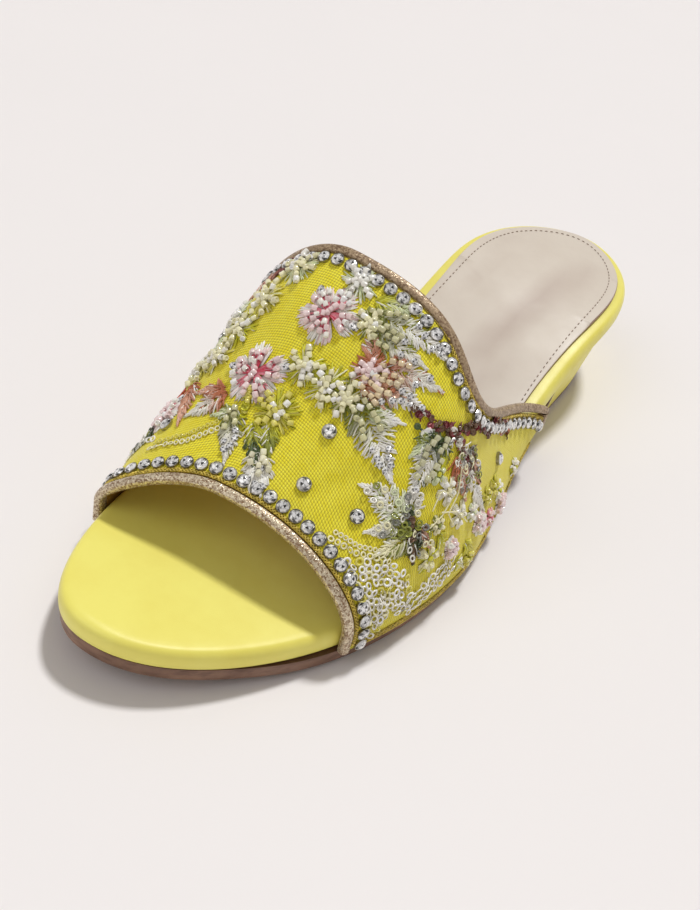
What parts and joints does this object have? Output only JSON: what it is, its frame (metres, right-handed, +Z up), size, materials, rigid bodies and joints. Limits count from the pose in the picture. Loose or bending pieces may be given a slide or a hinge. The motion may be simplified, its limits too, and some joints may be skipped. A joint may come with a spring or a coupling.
{
  "type": "heeled open-toe slipper",
  "caption": "Left open-toe slipper with a low block heel, padded footbed and a hollow embroidered upper over the instep.",
  "frame": {"origin": "on the floor, under the middle of the seat, in the face that the heel stands on", "axes": "+Z up, +Y toward the back of the heel with the toe along -Y, +X toward the outer side of the foot"},
  "size_m": [0.0905, 0.253, 0.0772],
  "materials": {
    "footbed": "smooth pale yellow leather over a padded board, satin",
    "outsole": "rose-brown, matt",
    "sock_lining": "smooth beige lining leather, matt",
    "heel": "smooth pale yellow leather over a block, satin",
    "upper": "plain-woven bright yellow fabric with bead, sequin and thread embroidery",
    "front_piping": "champagne metallic piping, fine grain",
    "topline_piping": "beige-brown piping, satin"
  },
  "bodies": {
    "root": {"footbed": "footbed", "outsole": "outsole", "sock_lining": "sock_lining", "heel": "heel", "upper": "upper", "front_piping": "front_piping", "topline_piping": "topline_piping"}
  },
  "joints": []
}
